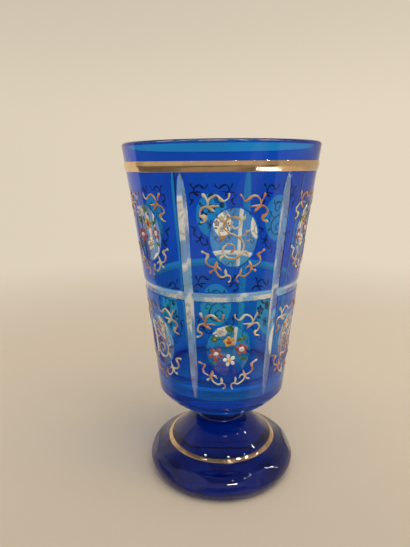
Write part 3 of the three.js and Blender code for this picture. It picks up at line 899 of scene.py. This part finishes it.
# %% The dabs of one bouquet
def petals(u, v, out, count, length, width, start):
    """Dabs on a ring round a middle, each pointing away from it."""
    dabs = []
    for turn in start + np.arange(count) * 360 / count:
        along, up = math.cos(math.radians(turn)), math.sin(math.radians(turn))
        dabs.append(dab(u + out * along, v + out * up, length, width, turn, 0.2, 0.28))
    return dabs


def bouquet(chance):
    """The dabs of one bouquet for each paint, moved a little by chance."""
    def near(u, v):
        return u + 0.15 * chance.standard_normal(), v + 0.15 * chance.standard_normal()

    spin = chance.uniform(-12, 12)
    u, v = near(-3.2, 8.3)
    turn = np.linspace(0, 3.4 * math.pi, 18)
    reach = 0.2 + 0.085 * turn
    spiral = np.stack([u + reach * np.cos(turn), v + reach * np.sin(turn), 0.26 + 0 * turn], -1)
    rose_line = stroke(spiral, steps=1) + [0, 0, 0.36]
    white = [dab(u, v, 3.0, 2.8, spin, height=0.42)] + petals(u, v, 1.4, 6, 1.8, 1.7, spin)
    white += [dab(-5.6, 7.8, 1.5, 1.1, 30), dab(-4.9, 6.6, 1.3, 1.0, -20)]
    green = [dab(*near(0.5, 9.8), 3.2, 3.4, 80, 0.15), dab(*near(-5.6, 5.0), 3.0, 2.9, 10),
             dab(*near(4.7, 4.5), 3.2, 1.8, 20, 0.5), dab(*near(6.5, 5.9), 2.0, 1.4, 60, 0.5),
             dab(*near(-6.0, -5.4), 2.9, 1.4, -5, 0.5), dab(*near(6.5, -3.9), 3.2, 1.7, -8, 0.5),
             dab(1.9, 7.6, 1.6, 0.9, -60, 0.5), dab(-2.4, 5.2, 1.6, 0.9, 40, 0.5)]
    u, v = near(0.3, 3.7)
    yellow = petals(u, v, 1.5, 5, 2.1, 2.0, 90 + spin) + [dab(-5.5, 5.0, 1.2, 1.1, height=0.42)]
    red = [dab(u, v - 0.3, 2.2, 2.1, height=0.5)]
    u, v = near(5.6, 0.2)
    red += petals(u, v, 1.75, 5, 1.9, 1.8, 85 + spin)
    white += [dab(u, v, 2.5, 2.4, height=0.45)]
    red += [dab(u, v, 0.6, 0.6, height=0.6)]
    u, v = near(-5.3, -1.5)
    red += petals(u, v, 2.0, 5, 2.3, 1.8, 115 + spin)
    white += [dab(u + 0.1, v + 0.2, 2.2, 1.8, 20, height=0.42)]
    yellow += [dab(u, v - 0.4, 1.1, 0.8, 20, height=0.55)]
    u, v = near(0.6, -4.4)
    white += petals(u, v, 1.8, 5, 2.0, 1.7, 92 + spin)
    yellow += [dab(u, v, 2.3, 2.1, height=0.45)]
    return {"leaf_green": green, "red": red + [rose_line], "white": white, "yellow": yellow}


# %% The six bouquets, one piece for each paint
BOUQUET_PANELS = {"upper": (1, 3, 5), "lower": (0, 2, 4)}
painted = {paint: [] for paint in PAINTS}
chance = np.random.default_rng(31)
for row, panels in BOUQUET_PANELS.items():
    for panel in panels:
        for paint, dabs in bouquet(chance).items():
            painted[paint] += [(wrap(panel, row, flat), 0) for flat in dabs]
for paint, grids in painted.items():
    make_piece("enamel_" + paint, grids, [PAINTS[paint]])

# %% [markdown]
# ## The setting
# The glass stands on a pale table that sweeps up into a pale wall all round, so that it has something to
# show through it and mirror from every side. A material can ask, with Light Path, what kind of ray is
# looking. So the sheet is matt paper for the light that falls on it, a pale wall for what is seen straight
# or through the glass, and in front, where only mirror images reach it, painted shade: a dark tone, most
# of all to the left. Painted light and shade also make the paper lighter to the right and at the back, and
# the wall dimmer high up and, in mirror images, to the right.

# %% The table and the wall
TABLE_RADIUS, SWEEP_ROUND, TABLE_DROP = 550, 250, 0.05
WALL_LEVELS = 420, 620


def sweep_outline():
    """A flat disc, a quarter circle and a straight wall, a hair below the glass."""
    r = np.linspace(0, TABLE_RADIUS, 12)
    sweep = arc(TABLE_RADIUS, SWEEP_ROUND, SWEEP_ROUND, -90, 0, 24)[1:]
    wall = [[TABLE_RADIUS + SWEEP_ROUND, z] for z in WALL_LEVELS]
    return np.concatenate([np.stack([r, 0 * r], -1), sweep, wall]) + [0, -TABLE_DROP]


# %% Helpers that work with numbers in a material
def ramp(tree, source, low, high, to_low=0.0, to_high=1.0):
    """Goes from one value to another by a smooth step, 3 x squared less 2 x cubed, between two limits."""
    limits = {"From Min": low, "From Max": high, "To Min": to_low, "To Max": to_high}
    return add(tree, "MapRange", {"Value": source, **limits}, interpolation_type="SMOOTHSTEP").outputs[0]


def blend(tree, share, first, second):
    """The second colour by a share, and the first by what is left."""
    return add(tree, "Mix", {0: share, 6: first, 7: second}, data_type="RGBA").outputs[2]


def maths(tree, operation, first, second):
    """One operation on two numbers."""
    return add(tree, "Math", {0: first, 1: second}, operation=operation).outputs[0]


def times(tree, *factors):
    """The product of some numbers."""
    product = factors[0]
    for factor in factors[1:]:
        product = maths(tree, "MULTIPLY", product, factor)
    return product


# %% Paper
BACKWARDS = (0.6, 1.0, 0.0)


def paper(name, near, far, bounce, front):
    """Matt paper near the glass, keeping its shadow, turning with distance to a pale wall; painted light and
    shade on both.
    """
    material, tree = new_material(name)
    place = add(tree, "TexCoord").outputs["Object"]
    x, y, z = add(tree, "SeparateXYZ", {0: place}).outputs
    distance = add(tree, "VectorMath", {0: place}, operation="LENGTH").outputs["Value"]
    back = add(tree, "VectorMath", {0: place, 1: BACKWARDS}, operation="DOT_PRODUCT").outputs["Value"]
    path = add(tree, "LightPath").outputs
    is_glossy, is_diffuse = path["Is Glossy Ray"], path["Is Diffuse Ray"]

    # Painted shade on the front, seen only in mirror images: none close to the glass, less far off, more to
    # the left, and hardly any high up
    painted_front_shade = times(tree, ramp(tree, back, -0.16, -0.30, 1.0, 0.6), ramp(tree, x, -0.20, -0.28, 1.0, 1.6))
    painted_front_shade = maths(tree, "MAXIMUM", painted_front_shade, ramp(tree, back, -0.33, -0.43))
    low = ramp(tree, z, 0.05, 0.15, 1.0, 0.35)
    mirrored_shade_share = times(tree, ramp(tree, back, -0.03, -0.06), painted_front_shade, low, is_glossy)

    # The matt paper, with painted light: a little lighter to the right and at the back
    side = ramp(tree, x, -0.5, 0.5, 0.96, 1.04)
    painted_light_behind = ramp(tree, y, -0.14, 0.10, 0.98, 1.19)
    painted_lightness = times(tree, side, painted_light_behind)
    tone = add(tree, "VectorMath", {0: near, "Scale": painted_lightness}, operation="SCALE").outputs[0]
    # In mirror images the paper takes the painted shade of the front
    seen = blend(tree, mirrored_shade_share, tone, front)
    matt = add(tree, "BsdfDiffuse", {"Color": blend(tree, is_diffuse, seen, bounce)})

    # The pale wall, with painted light and shade: a little lighter to the right, dimmer high up, and in
    # mirror images dimmer to the right
    high = ramp(tree, z, 0.2, 0.5, 1.0, 0.85)
    mirrored_side_shade = times(tree, ramp(tree, x, 0.25, 0.6, 1.0, 0.62), ramp(tree, x, -0.6, -0.25, 1.04, 1.0))
    strength = times(tree, side, high, maths(tree, "POWER", mirrored_side_shade, is_glossy))
    # The wall shows the same painted shade of the front in mirror images
    glow = add(tree, "Emission", {"Color": blend(tree, mirrored_shade_share, far, front), "Strength": strength})

    # Paper near, wall far off, only paper for diffuse light, and nothing from underneath
    not_diffuse = maths(tree, "SUBTRACT", 1.0, is_diffuse)
    share = times(tree, ramp(tree, distance, 0.15, 0.55), not_diffuse)
    body = mix_shaders(tree, share, matt, glow)
    underneath = add(tree, "NewGeometry").outputs["Backfacing"]
    whole = mix_shaders(tree, underneath, body, add(tree, "BsdfTransparent"))
    add(tree, "OutputMaterial", {"Surface": whole.outputs[0]})
    return material


# %% The sheet
PAPER_NEAR, PAPER_FAR = (0.56, 0.47, 0.36), (0.75, 0.65, 0.51)
# The last colour is painted shade: the dark tone the paper shows in front, in mirror images only
PAPER_BOUNCE, PAPER_MIRRORED_SHADE = (0.4, 0.39, 0.38), (0.15, 0.14, 0.13)


def make_stage():
    """The sweep as a one-sided sheet that faces the glass."""
    points = revolved(sweep_outline(), np.linspace(0, 2 * math.pi, 145))
    mesh = bpy.data.meshes.new("table_and_wall")
    faces = grid_faces(*points.shape[:2])[:, ::-1]
    mesh.from_pydata((points.reshape(-1, 3) * MM).tolist(), [], faces.tolist())
    mesh.materials.append(paper("pale paper", PAPER_NEAR, PAPER_FAR, PAPER_BOUNCE, PAPER_MIRRORED_SHADE))
    weld(mesh, 1e-5, outwards=False)
    stage = add_object("table_and_wall", mesh)
    up = np.mean([p.normal.z for p in mesh.polygons if p.center.z < 0.001])
    print("table made, its faces look", "up" if up > 0 else "down")


make_stage()

# %% The room
SKY_LOW, SKY_HIGH = 0.45, 0.75


def make_room(ambient, dim, pale):
    """The world: soft light for matt things, and a dim room above a pale rim for all that see it."""
    world = bpy.data.worlds.new("room")
    bpy.context.scene.world = world
    world.use_nodes = True
    tree = world.node_tree
    tree.nodes.clear()
    height = add(tree, "SeparateXYZ", {0: add(tree, "TexCoord").outputs["Generated"]}).outputs["Z"]
    share = add(tree, "MapRange", {"Value": height, "From Min": SKY_LOW, "From Max": SKY_HIGH}).outputs[0]
    view = add(tree, "Background", {"Color": blend(tree, share, pale, dim)})
    soft = add(tree, "Background", {"Color": ambient})
    is_diffuse = add(tree, "LightPath").outputs["Is Diffuse Ray"]
    add(tree, "OutputWorld", {"Surface": mix_shaders(tree, is_diffuse, view, soft).outputs[0]})


make_room((0.62, 0.60, 0.57), (0.17, 0.165, 0.16), (0.62, 0.54, 0.43))
print("room made")

# %% [markdown]
# ## The lamps
# One big soft lamp from above gives the light and the shadow. It isn't seen in the glass. What is seen are
# small things. Windows of two panes high up give the sharp glints on the foot and the paint. A few low panes
# are drawn out to streaks by the foot's tight round edge. A row of cards makes the wide bright patch on the
# rim band. Low panes and cards shine only in a narrow cone, so that they show on the one part that they are
# meant for. A cone gathers a lamp's power, so the same brightness takes far less of it.

# %% A lamp that points at the glass
AIM = Vector((0, 0, 0.03))
WHITE, SKY_BLUE = (1.0, 0.98, 0.95), (0.6, 0.76, 1.0)


def lamp(name, azimuth, elevation, distance, size, watts, colour, seen=True):
    """An area lamp at an angle from the front towards +X and an angle up, a distance from the glass."""
    light = bpy.data.lights.new(name, "AREA")
    light.shape = "RECTANGLE"
    light.size, light.size_y = size
    light.energy, light.color = watts, colour
    piece = add_object(name, light)
    a, e = math.radians(azimuth), math.radians(elevation)
    way = Vector((math.sin(a) * math.cos(e), -math.cos(a) * math.cos(e), math.sin(e)))
    piece.location = AIM + way * distance
    piece.rotation_euler = way.to_track_quat("Z", "Y").to_euler()
    piece.visible_camera = False
    piece.visible_glossy = piece.visible_transmission = seen
    return piece


def narrow(piece, spot, cone):
    """Turns a lamp to a spot and lets it shine only in a cone, for mirror images and not on matt things."""
    piece.data.spread = math.radians(cone)
    piece.rotation_euler = (piece.location - spot).to_track_quat("Z", "Y").to_euler()
    piece.visible_diffuse = False


lamp("soft_top", 20, 60, 1.3, (1.4, 1.4), 12.0, (1.0, 0.98, 0.96), seen=False)

# %% The windows, all of one brightness
WINDOWS = {"right": (66, 56), "low_right": (81, 39), "far_right": (87, 34), "high": (48, 61),
           "middle": (60, 51), "top": (17, 61), "left": (-56, 57)}
WINDOW_DISTANCE, PANE_SIZE, PANE_TURN, PANE_TILT = 1.1, (0.02, 0.03), 1.6, 0.5
WATTS_PER_SQUARE_METRE = 200.0
for name, (azimuth, elevation) in WINDOWS.items():
    for side in (-1, 1):
        turn, tilt = azimuth + PANE_TURN * side, elevation + PANE_TILT * side
        watts = WATTS_PER_SQUARE_METRE * PANE_SIZE[0] * PANE_SIZE[1]
        lamp(f"window_{name}_{side}", turn, tilt, WINDOW_DISTANCE, PANE_SIZE, watts, WHITE)

# %% The low panes, for the edge of the foot
LOW_PANES = {"front": (8.6, 31.5, 0.16, 0.045), "low": (61, 20, 0.025, 0.045),
             "lower": (66, 18, 0.025, 0.045), "lowest": (71, 16, 0.025, 0.045)}
LOW_DISTANCE, FOOT_SPOT, FOOT_CONE = 0.7, Vector((0, -0.033, -0.01)), 18
CONE_GAIN = 80
for name, (azimuth, elevation, width, height) in LOW_PANES.items():
    watts = WATTS_PER_SQUARE_METRE * width * height
    low_pane = lamp(f"window_{name}", azimuth, elevation, LOW_DISTANCE, (width, height), watts, WHITE)
    low_pane.data.energy /= CONE_GAIN
    narrow(low_pane, FOOT_SPOT, FOOT_CONE)
    low_pane.visible_transmission = False

# %% The row of cards, for the rim band
CARDS, CARD_MIDDLE, CARD_STEP, CARD_ELEVATION = 9, 47, 3.6, -3.8
CARD_DISTANCE, CARD_SIZE, CARD_WATTS = 0.29, (0.0185, 0.022), 7.5e-5
BAND_SPOT, BAND_CONE = Vector((0.030, -0.028, 0.152)), 13
for k in range(CARDS):
    turn = CARD_MIDDLE + CARD_STEP * (k - CARDS // 2)
    card = lamp(f"low_card_{k}", turn, CARD_ELEVATION, CARD_DISTANCE, CARD_SIZE, CARD_WATTS, SKY_BLUE)
    narrow(card, BAND_SPOT, BAND_CONE)

# %% [markdown]
# ## The camera
# The photograph was taken from about twenty centimetres, level with the rim band and a little to the left of
# the front panel. The lens comes from the picture's height, and the place from the ellipses of rim and foot.

# %% Camera
FOCAL_PIXELS, PICTURE_HEIGHT = 470.0, 547.0
EYE_AZIMUTH, EYE_DISTANCE, EYE_HEIGHT = math.radians(-8.5), 0.2075, 0.1424
EYE_PITCH, EYE_YAW, EYE_ROLL = math.radians(-13.1), math.radians(2.0), math.radians(-0.5)


def make_camera():
    """Looks from the eye's place along a heading turned by the yaw, tipped by the pitch and rolled."""
    data = bpy.data.cameras.new("camera")
    data.sensor_width = 36.0
    data.lens = FOCAL_PIXELS / PICTURE_HEIGHT * data.sensor_width
    data.clip_start = 0.01
    camera = add_object("camera", data)
    place = Vector((math.sin(EYE_AZIMUTH), -math.cos(EYE_AZIMUTH), 0)) * EYE_DISTANCE
    place += Vector((0, 0, EYE_HEIGHT))
    turn = Matrix.Rotation(EYE_AZIMUTH + EYE_YAW, 4, "Z") @ Matrix.Rotation(math.pi / 2 + EYE_PITCH, 4, "X")
    camera.matrix_world = Matrix.Translation(place) @ turn @ Matrix.Rotation(EYE_ROLL, 4, "Z")
    bpy.context.scene.camera = camera
    print("camera at", [round(c, 4) for c in place], "lens", round(data.lens, 2))


make_camera()

# %% Render settings: light crosses many faces of glass on its way
cycles = bpy.context.scene.cycles
cycles.max_bounces, cycles.transparent_max_bounces = 40, 64
cycles.transmission_bounces = cycles.glossy_bounces = 32
bpy.context.scene.view_settings.view_transform = "Standard"
